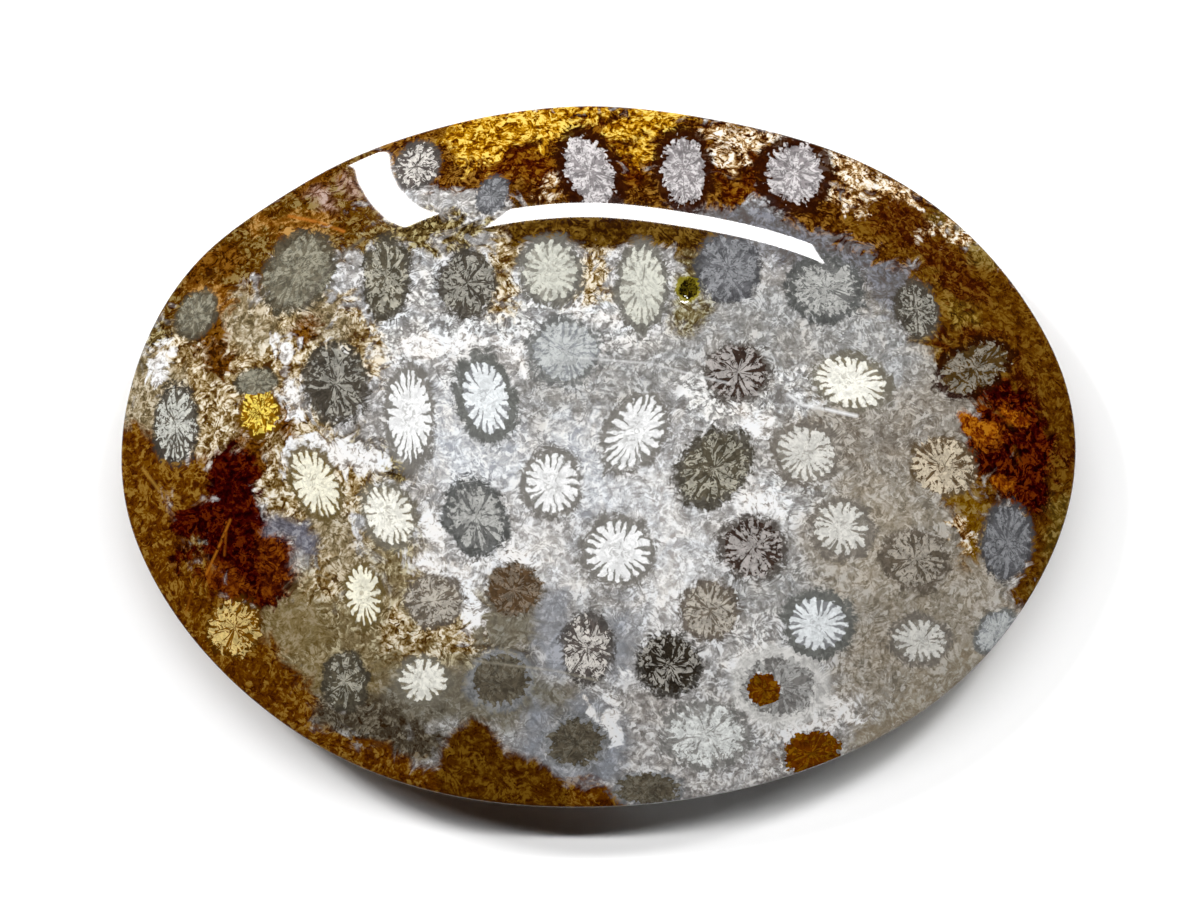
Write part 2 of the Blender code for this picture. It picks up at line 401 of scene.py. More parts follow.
        (0.9, (-10.2, 15.7), (-8.4, 16.2)),
        (0.6, (-8.0, 13.0), (-7.6, 14.6)),
        (0.5, (7.2, 15.8), (11.0, 14.9)),
    )),
    ("ridge_strip", ("#2a1102", "#3b2003", "#4b2f05", "#5c3f0a", "#7a5c22"), 0.5, 0.3, (
        (1.1, (-3.7, 10.4), (-1.0, 10.3), (1.4, 10.2), (4.8, 9.9)),
        (0.6, (3.6, 9.6), (4.5, 8.6)),
        (0.5, (5.4, 9.9), (6.6, 9.9)),
    )),
    ("pit_olive", ("#453315", "#5f4f2c", "#766845", "#8d825e", "#b9b497"), 0.6, 0.5, (
        (0.7, (4.5, 8.0), (4.2, 6.6), (4.0, 5.6)),
        (0.5, (4.9, 6.4), (4.6, 5.4)),
    )),
    ("side_amber", ("#3c1a01", "#4e2801", "#5c3503", "#6a4307", "#7d591a"), 0.8, 0.4, (
        (1.7, (13.2, 11.6), (15.6, 10.6), (17.4, 8.6)),
        (3.0, (18.0, 7.4), (19.6, 5.0), (21.4, 1.0), (22.6, -2.4)),
        (0.9, (18.6, -0.4), (18.6, -2.6)),
        (1.4, (16.9, 6.2), (17.2, 4.6)),
        (1.5, (21.9, -2.0), (21.6, -5.0), (21.0, -7.4)),
        (0.7, (17.2, -3.2), (17.8, -4.2)),
    )),
    ("side_olive", ("#3a2306", "#543909", "#6c4e10", "#856820", "#a88c48"), 0.8, 0.5, (
        (0.8, (16.2, 9.4), (17.2, 7.6), (17.6, 6.0)),
        (0.7, (15.7, 5.2), (16.8, 4.2)),
        (0.4, (19.4, 4.6), (20.0, 3.4)),
        (0.4, (21.6, -2.6), (22.2, -3.6)),
    )),
    ("side_dark", ("#2c0a01", "#3e1401", "#4c2002", "#5c3205", "#785117"), 0.9, 0.4, (
        (1.0, (14.4, 11.6), (16.4, 9.6), (17.6, 7.6)),
        (0.5, (16.3, 4.9), (16.9, 4.2), (17.8, 4.9), (19.6, 5.0)),
        (0.8, (19.8, 4.2), (20.6, 2.0), (21.2, -0.4), (20.8, -3.0)),
        (0.4, (21.0, -0.5), (22.8, -0.6)),
    )),
    ("side_red", ("#120000", "#210101", "#340201", "#4a0e02", "#702e04"), 0.6, 0.3, (
        (1.0, (18.9, 2.2), (20.0, 1.6), (20.8, 0.2), (20.6, -2.4)),
        (1.0, (18.6, 0.6), (19.2, -0.8), (19.4, -2.0)),
        (0.6, (18.1, -0.4), (18.5, -1.6)),
    )),
    ("side_orange", ("#4c1001", "#692803", "#843d04", "#9c5408", "#be7818"), 0.5, 0.25, (
        (0.55, (17.6, 0.6), (18.5, 0.1)),
        (0.35, (19.5, 1.3), (20.2, 0.9)),
        (0.20, (18.6, -2.0), (19.3, -2.4)),
    )),
    ("right_rim", ("#43300c", "#563f0f", "#664c14", "#7a5f22", "#9a8248"), 0.5, 0.4, (
        (0.7, (22.4, -3.2), (22.1, -5.2), (21.2, -7.4)),
        (0.5, (16.8, 11.4), (19.2, 9.2)),
    )),
    ("tongue", ("#573302", "#754c02", "#805a07", "#866623", "#9e8348"), 0.5, 0.4, (
        (0.7, (17.2, -3.0), (17.8, -4.4), (17.7, -5.4)),
    )),
    ("cream_flakes", ("#351002", "#704618", "#b28c58", "#f0dab0", "#fffaf2"), 0.6, 0.2, (
        (0.55, (5.6, 15.9), (7.2, 15.5), (8.6, 15.6)),
        (0.50, (5.6, 14.6), (6.6, 14.0)),
        (0.60, (11.2, 14.3), (12.6, 13.7), (13.4, 13.0)),
        (0.45, (11.4, 12.7), (12.4, 11.7)),
        (0.28, (15.8, 10.5), (17.2, 10.9), (17.9, 10.2)),
        (0.35, (14.0, 13.2), (15.4, 12.4)),
        (0.35, (-2.2, 12.9), (-2.6, 12.0)),
        (0.30, (17.0, -4.3), (17.2, -5.4)),
    )),
    ("frost", ("#a39d97", "#e2deda", "#ffffff", "#ffffff", "#ffffff"), 0.75, 0.22, (
        (0.28, (-15.0, 4.1), (-14.8, 2.8), (-14.5, 1.6), (-14.1, 0.9)),
        (0.50, (-12.8, -1.4), (-11.6, -1.1), (-10.6, -1.6)),
        (0.45, (-14.6, -1.6), (-13.4, -0.8)),
        (0.70, (-7.7, -4.7), (-7.5, -5.2)),
        (0.70, (-8.3, -6.4), (-6.8, -6.6), (-6.1, -7.4)),
        (0.55, (-6.2, -7.4), (-5.9, -9.4)),
        (0.45, (-5.6, -6.3), (-4.2, -6.2), (-3.3, -6.5)),
        (0.50, (-9.3, 4.1), (-7.2, 3.9), (-6.2, 4.4)),
        (0.40, (-4.2, 4.0), (-3.8, 3.4)),
        (0.45, (6.6, 0.9), (7.6, 0.0), (8.2, 0.6)),
        (0.35, (7.0, -3.5), (8.3, -3.6)),
        (0.50, (10.3, -14.0), (11.2, -13.3), (12.0, -12.8)),
        (0.45, (7.3, -13.6), (9.2, -13.8), (10.2, -13.7)),
        (0.45, (6.3, -11.4), (7.4, -10.5), (9.4, -10.7)),
        (0.40, (0.2, -12.6), (1.0, -12.2)),
        (0.50, (0.2, -13.6), (0.6, -14.4)),
        (0.35, (-1.0, 5.6), (1.2, 5.5)),
        (0.30, (-20.9, 4.6), (-21.3, 3.6)),
    )),
)

# Healed cracks and fine streaks: half width in millimetres, strength, colour and the points of each.
CRACKS = (
    (0.05, 0.55, "#ffffff", ((-0.9, 3.45), (2.6, 3.15), (4.7, 2.55), (6.2, 2.2))),
    (0.07, 0.95, "#ffffff", ((8.9, 1.75), (9.6, 1.2), (10.7, 1.0), (12.3, 0.65))),
    (0.05, 0.50, "#b9b2a0", ((-6.0, -11.0), (-2.0, -11.5), (0.0, -11.95))),
    (0.05, 0.90, "#b36c1a", ((-17.4, -4.1), (-18.0, -5.4), (-18.6, -6.6))),
    (0.05, 0.80, "#98510f", ((-17.6, -4.2), (-17.7, -5.8))),
    (0.05, 0.70, "#965a13", ((-19.1, -6.6), (-19.6, -8.3))),
    (0.06, 0.80, "#aa8034", ((-21.9, -1.2), (-21.0, -2.4), (-19.9, -2.9))),
    (0.07, 0.90, "#be7329", ((-15.2, 11.5), (-13.7, 11.0), (-12.3, 10.3))),
    (0.09, 0.75, "#5a5349", ((-14.2, 6.0), (-13.5, 7.5), (-12.3, 9.1), (-11.3, 9.9))),
    (0.05, 0.50, "#867f75", ((4.2, 1.2), (3.4, -0.4))),
)

# Grain of the stone. The scale of a noise is its lumps a millimetre, which is one over their size. A band
# is the values of a noise between which it turns one thing to another.

NOISE_MIDDLE = 0.5
CURL_NOISE = {"Scale": 1 / 0.55, "Detail": 2.0, "Roughness": 0.6, "Distortion": 0.0}
CURL_REACH = 1.1
FLAKE_SIZE = 0.24
GRAIN_NOISE = {"Scale": 1 / 0.38, "Detail": 2.0, "Roughness": 0.6, "Distortion": 0.0}
SCROLL_NOISE = {"Scale": 1 / 1.1, "Detail": 3.0, "Roughness": 0.6, "Distortion": 1.2}
SCROLL_TURNS = 12.0
MOTTLE_NOISE = {"Scale": 1 / 1.3, "Detail": 4.0, "Roughness": 0.62, "Distortion": 1.4}
MOTTLE_BAND = (0.40, 0.60)
FRONT_NOISE = {"Scale": 1 / 1.5, "Detail": 4.0, "Roughness": 0.65, "Distortion": 1.4}
FRONT_BAND = (0.32, 0.68)
TINT_NOISE = {"Scale": 1 / 1.8, "Detail": 4.0, "Roughness": 0.7, "Distortion": 1.0}
TINT_BAND = (0.36, 0.64)
WARM_TINT = (1.03, 1.0, 0.965)
COOL_TINT = (0.98, 1.0, 1.03)

# How much each part adds to the specks. Scrolls add most where the mottling is light, and flecks are
# only the few flakes whose chance is in their band.
FLAKE_SHARE = 0.20
FLECK_SHARE = 0.22
FLECK_BAND = (0.86, 0.93)
SCROLL_SHARES = (0.08, 0.42)
GRAIN_SHARE = 1.0
MOTTLE_SHARE = 0.46

# Where the five colours of a palette stand on the speck pattern, as shares of its range.
SPECK_STOPS = (0.17, 0.36, 0.50, 0.64, 0.83)

# Form of the septa, in shares of a cup's radius or of the pitch from one septum to the next.
SEPTA_DRIFT = 0.45
SEPTA_KINK = 0.18
DRIFT_NOISE = {"Scale": 1.1, "Detail": 2.0, "Roughness": 0.5, "Distortion": 0.0}
KINK_NOISE = {"Scale": 4.0, "Detail": 2.0, "Roughness": 0.5, "Distortion": 0.0}
GAP_SHIFT = 0.16
GAP_ONSET = (0.36, 0.84)
ONSET_WANDER = 0.4
GAP_WIDTH = (0.12, 0.32)
GAP_TIP = 0.03
GAP_TAPER = (-0.05, 0.45)
GAP_OPENING = (-0.05, 0.08)
GAP_FADE = (-0.11, 0.044)
# How far a mark that is wholly open or wholly closed stands to either side of the fade.
SWING = 0.3

# Threads round a cup, counted round it and from its middle to its rim, and the step in the noise from
# one cup to the next. A cup's middle is a tangle instead, out to where the core has faded.
THREAD_NOISE = {"Scale": 1.0, "Detail": 2.5, "Roughness": 0.62, "Distortion": 0.9}
THREAD_BAND = (0.40, 0.56)
THREADS_ROUND = 2.6
THREADS_OUTWARD = 1.6
SEED_STEP = 7.3
TANGLE_NOISE = {"Scale": 2.6, "Detail": 2.0, "Roughness": 0.6, "Distortion": 2.2}
TANGLE_BAND = (0.37, 0.53)
CORE_FADE = (0.25, 0.60)
CORE_STRENGTH = 0.45

# A cup's rim and moat, and the shade of its dark and light specks: for whole septa, then for broken ones.
SCALLOP = 0.16
RIM_PLACE = 0.96
RIM_FRAY = (0.22, 0.75)
RIM_FADE = 0.03
MOAT_WANDER = 0.16
MOAT_FRAY = 0.28
MOAT_FADE = (-0.22, 0.06)
MOAT_STRENGTH = 0.95
SHADE_BAND = (0.2, 0.8)
DARK_SHADES = (0.86, 0.62)
LIGHT_SHADES = (1.10, 1.34)

# A crack, in mm: how far its line is looked for, the least run of it, and how its ends fade. Then where
# noise breaks it, and how much of it is left there.
CRACK_REACH = 0.6
LEAST_RUN = 0.001
CRACK_END = 0.05
CRACK_BREAKS = (-0.9, 0.3)
CRACK_FAINTEST = 0.4

# Wave length of the hand polish in metres, how soon above the girdle it is at full depth, and the map.
WAVE_LENGTH = 0.009
WAVE_ONSET = 3
MAP_NAME = "OFBake"
MAP_MARGIN = 1.02
QUARTZ_IOR = 1.54

# The studio. Panels: name, azimuth (0 is +X, 90 the far side) and elevation in degrees, distance and
# size in metres, roll in degrees, radiance, whether the polish mirrors it, and whether it lights what is
# not a mirror.

PANELS = (
    ("long_softbox", 90.0, 69.0, 0.8, (1.90, 0.060), 0.0, 24.0, False, True),
    ("left_softbox", 146.0, 35.0, 0.8, (0.14, 0.08), 0.0, 125.0, False, True),
    ("right_softbox", 50.0, 44.0, 0.8, (0.14, 0.08), 0.0, 75.0, False, True),
    ("window_panel", 84.5, 44.5, 0.8, (0.311, 0.120), 0.0, 30.0, True, False),
    ("strip_panel", 108.5, 27.6, 0.8, (0.046, 0.150), 16.5, 30.0, True, False),
)
CAMERA_TARGET = (0.00006, 0.000493, 0.0)
CAMERA_AZIMUTH = 270.0
CAMERA_ELEVATION = 75.0
SENSOR_WIDTH = 36.0
NEAREST_SEEN = 0.005
CARD_ROUGHNESS = 0.95


# The fine mesh.


def ground_depth(turn):
    """How far the freehand grinding left the edge outside or inside the plain ellipse."""
    total = 0.0
    for degrees, depth, spread in GROUND_SPOTS:
        apart = math.remainder(math.degrees(turn) - degrees, 360) / spread
        total += depth * math.exp(-apart ** 2 / 2)
    return total


def ground_outline(turn, inset, length, width):
    """A point in plan: an ellipse as it was ground, moved inwards square to its edge."""
    normal_x = width * math.cos(turn)
    normal_y = length * math.sin(turn)
    size = math.hypot(normal_x, normal_y)
    outwards = ground_depth(turn) - inset
    x = length / 2 * math.cos(turn) + outwards * normal_x / size
    y = width / 2 * math.sin(turn) + outwards * normal_y / size
    return x, y


def stations():
    """Rings of the cage from the base up: inset from the girdle, share of that ring, height."""
    bevel_slope = BEVEL_RISE / BEVEL_WIDTH
    underside_slope = GIRDLE_HEIGHT / UNDERSIDE_WIDTH
    shoulder_height = GIRDLE_HEIGHT + BEVEL_RISE
    top = shoulder_height + DOME_RISE
    table_inset = BEVEL_WIDTH + SHOULDER_ROUNDING

    def table_height(share):
        return top - DOME_RISE * share ** 2

    return (
        (table_inset, 0.0, 0.0),
        (table_inset, 0.5, 0.0),
        (UNDERSIDE_WIDTH + BASE_ROUNDING, 1.0, 0.0),
        (UNDERSIDE_WIDTH, 1.0, 0.0),
        (GIRDLE_ROUNDING, 1.0, GIRDLE_HEIGHT - underside_slope * GIRDLE_ROUNDING),
        (-GIRDLE_ROUNDING / 2, 1.0, GIRDLE_HEIGHT),
        (GIRDLE_ROUNDING, 1.0, GIRDLE_HEIGHT + bevel_slope * GIRDLE_ROUNDING),
        (BEVEL_WIDTH - SHOULDER_ROUNDING, 1.0, shoulder_height - bevel_slope * SHOULDER_ROUNDING),
        (table_inset, 1.0, table_height(1.0)),
        (table_inset, 0.70, table_height(0.70)),
        (table_inset, 0.35, table_height(0.35)),
        (table_inset, 0.0, top),
    )


def stone_cage(length, width):
    """A sphere's rings moved to the stations."""
    rings = stations()
    last = len(rings) - 1
    cage = bmesh.new()
    bmesh.ops.create_uvsphere(cage, u_segments=CAGE_COLUMNS, v_segments=last, radius=1.0)
    for vertex in cage.verts:
        depth = math.acos(max(-1.0, min(1.0, vertex.co.z))) / math.pi
        inset, share, level = rings[last - round(depth * last)]
        x, y = ground_outline(math.atan2(vertex.co.y, vertex.co.x), inset, length, width)
        vertex.co = (x * share, y * share, level)
    bmesh.ops.recalc_face_normals(cage, faces=cage.faces)
    mesh = bpy.data.meshes.new("cage")
    cage.to_mesh(mesh)
    cage.free()
    return mesh


def subdivided(mesh, levels):
    """The mesh that Subdivision Surface makes of a cage."""
    carrier = bpy.data.objects.new("cage", mesh)
    bpy.context.scene.collection.objects.link(carrier)
    smoothing = carrier.modifiers.new("smoothing", "SUBSURF")
    smoothing.levels = levels
    smoothing.render_levels = levels
    depsgraph = bpy.context.evaluated_depsgraph_get()
    fine = bpy.data.meshes.new_from_object(carrier.evaluated_get(depsgraph))
    bpy.data.objects.remove(carrier)
    bpy.data.meshes.remove(mesh)
    return fine


def vertex_places(mesh):
    """Vertex coordinates as an array with a row for each vertex."""
    flat = np.empty(len(mesh.vertices) * 3, np.float32)
    mesh.vertices.foreach_get("co", flat)
    return flat.reshape(-1, 3).astype(float)


def fit_and_polish(mesh, waviness, size):
    """Brings the mesh to the stated size, then adds the slight waves of hand polishing and the pit."""
    places = vertex_places(mesh)
    low = places.min(axis=0)
    high = places.max(axis=0)
    places = (places - low) / (high - low)
    places = places * np.array(size) + np.array((CAD_LOW.x, CAD_LOW.y, CAD_LOW.z))
    crown = places[:, 2] > GIRDLE_HEIGHT
    for index in np.nonzero(crown)[0]:
        x, y, z = places[index]
        rise = (z - GIRDLE_HEIGHT) / (CAD_HIGH.z - GIRDLE_HEIGHT)
        wave = noise.noise(Vector((x, y, 0.0)) / WAVE_LENGTH)
        places[index, 2] -= waviness * min(1.0, rise * WAVE_ONSET) * (0.5 + 0.5 * wave)
        places[index, 2] -= pit_depth(x / MM, y / MM) * MM
    mesh.vertices.foreach_set("co", places.astype(np.float32).ravel())
    mesh.update()


def pit_depth(x, y):
    """Depth of the open pit below a point of the table, in millimetres."""
    middle_x, middle_y, half_length, half_width, turn, depth = PIT
    away = math.hypot(*turned(x - middle_x, y - middle_y, turn, half_length, half_width))
    if away >= 1.0:
        return 0.0
    return depth * (1.0 - away ** 2) ** 2


def turned(x, y, turn, half_length, half_width):
    """Offsets from the middle of an oval, as shares of its half length and half width."""
    angle = np.radians(turn)
    along = x * np.cos(angle) + y * np.sin(angle)
    across = y * np.cos(angle) - x * np.sin(angle)
    return along / half_length, across / half_width


# Marks, kept as attributes of the mesh.

CUP_COLOURS = ("cup_septa", "cup_gap", "cup_moat")
Layout = namedtuple("Layout", "places corner_vertices corner_faces middles")


def stroke_distance(x, y, half_width, points):
    """Distance inside (above zero) or outside a round-ended stroke, in millimetres."""
    nearest = np.full(x.shape, np.inf)
    for (x0, y0), (x1, y1) in zip(points, points[1:]):
        run = np.array((x1 - x0, y1 - y0))
        share = ((x - x0) * run[0] + (y - y0) * run[1]) / (run @ run)
        share = np.clip(share, 0.0, 1.0)
        nearest = np.minimum(nearest, np.hypot(x - x0 - share * run[0], y - y0 - share * run[1]))
    return half_width - nearest


def keep_attribute(mesh, name, kind, domain, values):
    """Stores one value for each point, corner or face."""
    made = mesh.attributes.new(name, kind, domain)
    field = {"FLOAT": "value", "FLOAT_VECTOR": "vector", "FLOAT_COLOR": "color"}[kind]
    made.data.foreach_set(field, np.ascontiguousarray(values, np.float32).ravel())


def mark_stains(mesh, layout):
    """How far each point is inside each stain, in millimetres."""
    x, y, _z = layout.places.T
    for name, _palette, _ragged, _softness, strokes in STAINS:
        inside = np.full(len(x), -np.inf)
        for half_width, *points in strokes:
            inside = np.maximum(inside, stroke_distance(x, y, half_width, points))
        keep_attribute(mesh, name, "FLOAT", "POINT", inside)


def deeper_cups():
    """The cups as the underside cuts them."""
    draw = np.random.default_rng(DEEPER_SEED)
    cups = []
    for x, y, half_length, half_width, turn, septa, _look in CROWN_CUPS:
        shift = draw.uniform(-DEEPER_SHIFT, DEEPER_SHIFT, 2)
        size = draw.uniform(*DEEPER_SIZES)
        look = DEEPER_LOOKS[draw.integers(len(DEEPER_LOOKS))]
        lean = draw.uniform(-DEEPER_LEAN, DEEPER_LEAN)
        cups.append((
            x * DEEPER_SPREAD + shift[0], y * DEEPER_SPREAD + shift[1],
            half_length * size, half_width * size, turn + lean, septa, look,
        ))
    return cups


def mark_cups(mesh, layout):
    """For each face its cup: the corners' places in that cup, and the cup's form and colours.

    A face takes the nearest cup, or a later one that holds it.
    """
    middles = layout.middles
    on_crown = middles[:, 2] * MM > GIRDLE_HEIGHT
    nearest = np.full(len(middles), np.inf)
    chosen = np.zeros((len(middles), 5))
    form = np.zeros((len(middles), 3))
    seed = np.zeros(len(middles))
    colours = {name: np.zeros((len(middles), 4)) for name in CUP_COLOURS}
    number = 0
    for cups, side in ((CROWN_CUPS, on_crown), (deeper_cups(), ~on_crown)):
        for x, y, half_length, half_width, turn, septa, look in cups:
            number += 1
            along, across = turned(
                middles[:, 0] - x, middles[:, 1] - y, turn, half_length, half_width)
            away = np.hypot(along, across)
            mine = side & ((away < nearest) | (away < CUP_HOLD))
            nearest[mine] = away[mine]
            chosen[mine] = (x, y, turn, half_length, half_width)
            *codes, reach, disorder = CUP_LOOKS[look]
            form[mine] = (septa, reach, disorder)
            seed[mine] = number
            for name, code in zip(CUP_COLOURS, codes):
                colours[name][mine] = stone_colour(code)
    corners = layout.places[layout.corner_vertices]
    x, y, turn, half_length, half_width = chosen[layout.corner_faces].T
    along, across = turned(corners[:, 0] - x, corners[:, 1] - y, turn, half_length, half_width)
    in_cup = np.stack((along, across, seed[layout.corner_faces]), axis=1)
    keep_attribute(mesh, "cup_place", "FLOAT_VECTOR", "CORNER", in_cup)
    keep_attribute(mesh, "cup_form", "FLOAT_VECTOR", "FACE", form)
    for name, values in colours.items():
        keep_attribute(mesh, name, "FLOAT_COLOR", "FACE", values)


def mark_cracks(mesh, layout):
    """For each face its nearest crack: the corners' distance to either side, its width and colour."""
    middles = layout.middles
    nearest = np.full(len(middles), CRACK_REACH)
    line = np.zeros((len(middles), 4))
    form = np.zeros((len(middles), 3))
    colour = np.zeros((len(middles), 4))
    for half_width, strength, code, points in CRACKS:
        for (x0, y0), (x1, y1) in zip(points, points[1:]):
            away = -stroke_distance(middles[:, 0], middles[:, 1], 0.0, ((x0, y0), (x1, y1)))
            mine = (away < nearest) & (middles[:, 2] * MM > GIRDLE_HEIGHT)
            nearest[mine] = away[mine]
            line[mine] = (x0, y0, x1 - x0, y1 - y0)
            form[mine] = (half_width, strength, 0.0)
            colour[mine] = stone_colour(code)
    start_x, start_y, run_x, run_y = line[layout.corner_faces].T
    length = np.maximum(np.hypot(run_x, run_y), LEAST_RUN)
    offset_x = layout.places[layout.corner_vertices, 0] - start_x
    offset_y = layout.places[layout.corner_vertices, 1] - start_y
    aside = (offset_y * run_x - offset_x * run_y) / length
    along = (offset_x * run_x + offset_y * run_y) / length
    in_crack = np.stack((aside, along, length - along), axis=1)
    keep_attribute(mesh, "crack_place", "FLOAT_VECTOR", "CORNER", in_crack)
    keep_attribute(mesh, "crack_form", "FLOAT_VECTOR", "FACE", form)
    keep_attribute(mesh, "crack_colour", "FLOAT_COLOR", "FACE", colour)


def lay_out(mesh, layout):
    """A flat map of the stone: the crown in the upper half, the underside in the lower half."""
    low = layout.places.min(axis=0)
    span = layout.places.max(axis=0) - low
    room = max(span[0], 2 * span[1]) * MAP_MARGIN
    corners = layout.places[layout.corner_vertices]
    on_crown = layout.middles[layout.corner_faces, 2] * MM > GIRDLE_HEIGHT
    across = (corners[:, 0] - low[0] + (room - span[0]) / 2) / room
    up = (corners[:, 1] - low[1]) / room + (1 - 2 * span[1] / room) / 4
    up[on_crown] += 0.5
    layer = mesh.uv_layers.new(name=MAP_NAME)
    layer.uv.foreach_set("vector", np.stack((across, up), axis=1).astype(np.float32).ravel())


def mesh_layout(mesh):
    """Points, corners and face middles of a mesh, in millimetres."""
    corner_vertices = np.empty(len(mesh.loops), np.int32)
    mesh.loops.foreach_get("vertex_index", corner_vertices)
    sizes = np.empty(len(mesh.polygons), np.int32)
    mesh.polygons.foreach_get("loop_total", sizes)
    middles = np.empty(len(sizes) * 3, np.float32)
    mesh.polygons.foreach_get("center", middles)
    return Layout(
        places=vertex_places(mesh) / MM,
        corner_vertices=corner_vertices,
        corner_faces=np.repeat(np.arange(len(sizes)), sizes),
        middles=middles.reshape(-1, 3).astype(float) / MM,
    )


def mark_stone(mesh):
    """Adds every mark and the flat map."""
    layout = mesh_layout(mesh)
    for make in (mark_stains, mark_cups, mark_cracks, lay_out):
        make(mesh, layout)


# The polished agatised coral.

# Sockets of a Mix node that mixes numbers, vectors or colours.
NUMBER_A, NUMBER_B = 2, 3
VECTOR_A, VECTOR_B = 4, 5
COLOUR_A, COLOUR_B = 6, 7


def add(tree, kind, sockets=(), output=None, **settings):
    """Adds a shader node. Its sockets are filled in order, or by number or name, with values or links."""
    made = tree.nodes.new("ShaderNode" + kind)
    for name, value in settings.items():
        setattr(made, name, value)
    pairs = sockets.items() if isinstance(sockets, dict) else enumerate(sockets)
    for key, value in pairs:
        if isinstance(value, bpy.types.NodeSocket):
            tree.links.new(value, made.inputs[key])
        else:
            made.inputs[key].default_value = value
    if output is not None:
        return made.outputs[output]
    return next(socket for socket in made.outputs if socket.enabled)


def five_colour_ramp(tree, value, palette):
    """A ramp through five colours, spaced as specks of a natural stone are: most near the middle."""
    ramp = tree.nodes.new("ShaderNodeValToRGB")
    tree.links.new(value, ramp.inputs[0])
    stops = ramp.color_ramp.elements
    for position in SPECK_STOPS[1:-1]:
        stops.new(position)
    for stop, position, code in zip(stops, SPECK_STOPS, palette):
        stop.position = position
        stop.color = stone_colour(code)
    return ramp.outputs[0]


def speck_pattern(tree, place, contrast):
    """Specks of microcrystalline quartz: curled flakes, grain and scrolls over broad mottling."""
    bend = add(tree, "TexNoise", {"Vector": place, **CURL_NOISE}, output="Color")
    bend = add(tree, "VectorMath", (bend, (NOISE_MIDDLE,) * 3), operation="SUBTRACT")
    bend = add(tree, "VectorMath", {0: bend, "Scale": CURL_REACH}, operation="SCALE")
    curled = add(tree, "VectorMath", (place, bend), operation="ADD")
    chances = add(tree, "TexVoronoi", {"Vector": curled, "Scale": 1 / FLAKE_SIZE}, output="Color")
    flakes, fleck_chance, _blue = add(tree, "SeparateColor", (chances,)).node.outputs
    flecks = add(tree, "MapRange", (fleck_chance, *FLECK_BAND))
    scrolls = add(tree, "TexNoise", {"Vector": place, **SCROLL_NOISE})
    scrolls = add(tree, "Math", (scrolls, SCROLL_TURNS), operation="MULTIPLY")
    scrolls = add(tree, "Math", (scrolls, 1.0), operation="PINGPONG")
    scrolls = add(tree, "Math", (scrolls, NOISE_MIDDLE), operation="SUBTRACT")
    grain = add(tree, "TexNoise", {"Vector": curled, **GRAIN_NOISE})
    mottle = add(tree, "TexNoise", {"Vector": place, **MOTTLE_NOISE})
    scroll_share = add(tree, "MapRange", (mottle, *MOTTLE_BAND, *SCROLL_SHARES))
    total = add(tree, "Math", (flakes, FLAKE_SHARE), operation="MULTIPLY")
    for part, share in ((scrolls, scroll_share), (grain, GRAIN_SHARE), (mottle, MOTTLE_SHARE)):
        total = add(tree, "Math", (part, share, total), operation="MULTIPLY_ADD")
    middle = (FLAKE_SHARE + GRAIN_SHARE + MOTTLE_SHARE) * NOISE_MIDDLE
    centred = add(tree, "Math", (total, middle), operation="SUBTRACT")
    centred = add(tree, "Math", (flecks, FLECK_SHARE, centred), operation="MULTIPLY_ADD")
    return add(tree, "Math", (centred, contrast, NOISE_MIDDLE), operation="MULTIPLY_ADD")


def edge_wander(tree, place):
    """How noise drives a stain's edge in and out: branching moss-like fronts, from about -1 to 1."""
    broad = add(tree, "TexNoise", {"Vector": place, **FRONT_NOISE})
    return add(tree, "MapRange", (broad, *FRONT_BAND, -1.0, 1.0), clamp=False)


def warm_and_cool(tree, place, colour):
    """Drifts the colour between warm and cool, as traces of iron and water do in chalcedony."""
    drift = add(tree, "TexNoise", {"Vector": place, **TINT_NOISE})
    share = add(tree, "MapRange", (drift, *TINT_BAND))
    tint = add(tree, "Mix", {0: share, VECTOR_A: COOL_TINT, VECTOR_B: WARM_TINT}, data_type="VECTOR")
    return add(tree, "VectorMath", (colour, tint), operation="MULTIPLY")


def stained_ground(tree, speck, wander):
    """Chalcedony with each stain laid over it in turn."""
    colour = five_colour_ramp(tree, speck, CHALCEDONY)
    for name, palette, ragged, softness, _strokes in STAINS:
        inside = add(tree, "Attribute", output="Fac", attribute_name=name)
        inside = add(tree, "Math", (wander, ragged, inside), operation="MULTIPLY_ADD")
        cover = add(tree, "MapRange", (inside, -softness, softness), interpolation_type="SMOOTHSTEP")
        paint = five_colour_ramp(tree, speck, palette)
        colour = add(tree, "Mix", {0: cover, COLOUR_A: colour, COLOUR_B: paint}, data_type="RGBA")
    return colour


def cup_threads(tree, heading, away, seed):
    """Threads that run outwards: noise wrapped round the cup, stretched from its middle to its rim."""
    wrapped = add(tree, "VectorMath", {0: heading, "Scale": THREADS_ROUND}, operation="SCALE")
    layer = add(tree, "Math", (seed, SEED_STEP), operation="MULTIPLY")
    layer = add(tree, "Math", (away, THREADS_OUTWARD, layer), operation="MULTIPLY_ADD")
    depth = add(tree, "CombineXYZ", (0.0, 0.0, layer))
    wrapped = add(tree, "VectorMath", (wrapped, depth), operation="ADD")
    return add(tree, "TexNoise", {"Vector": wrapped, **THREAD_NOISE})


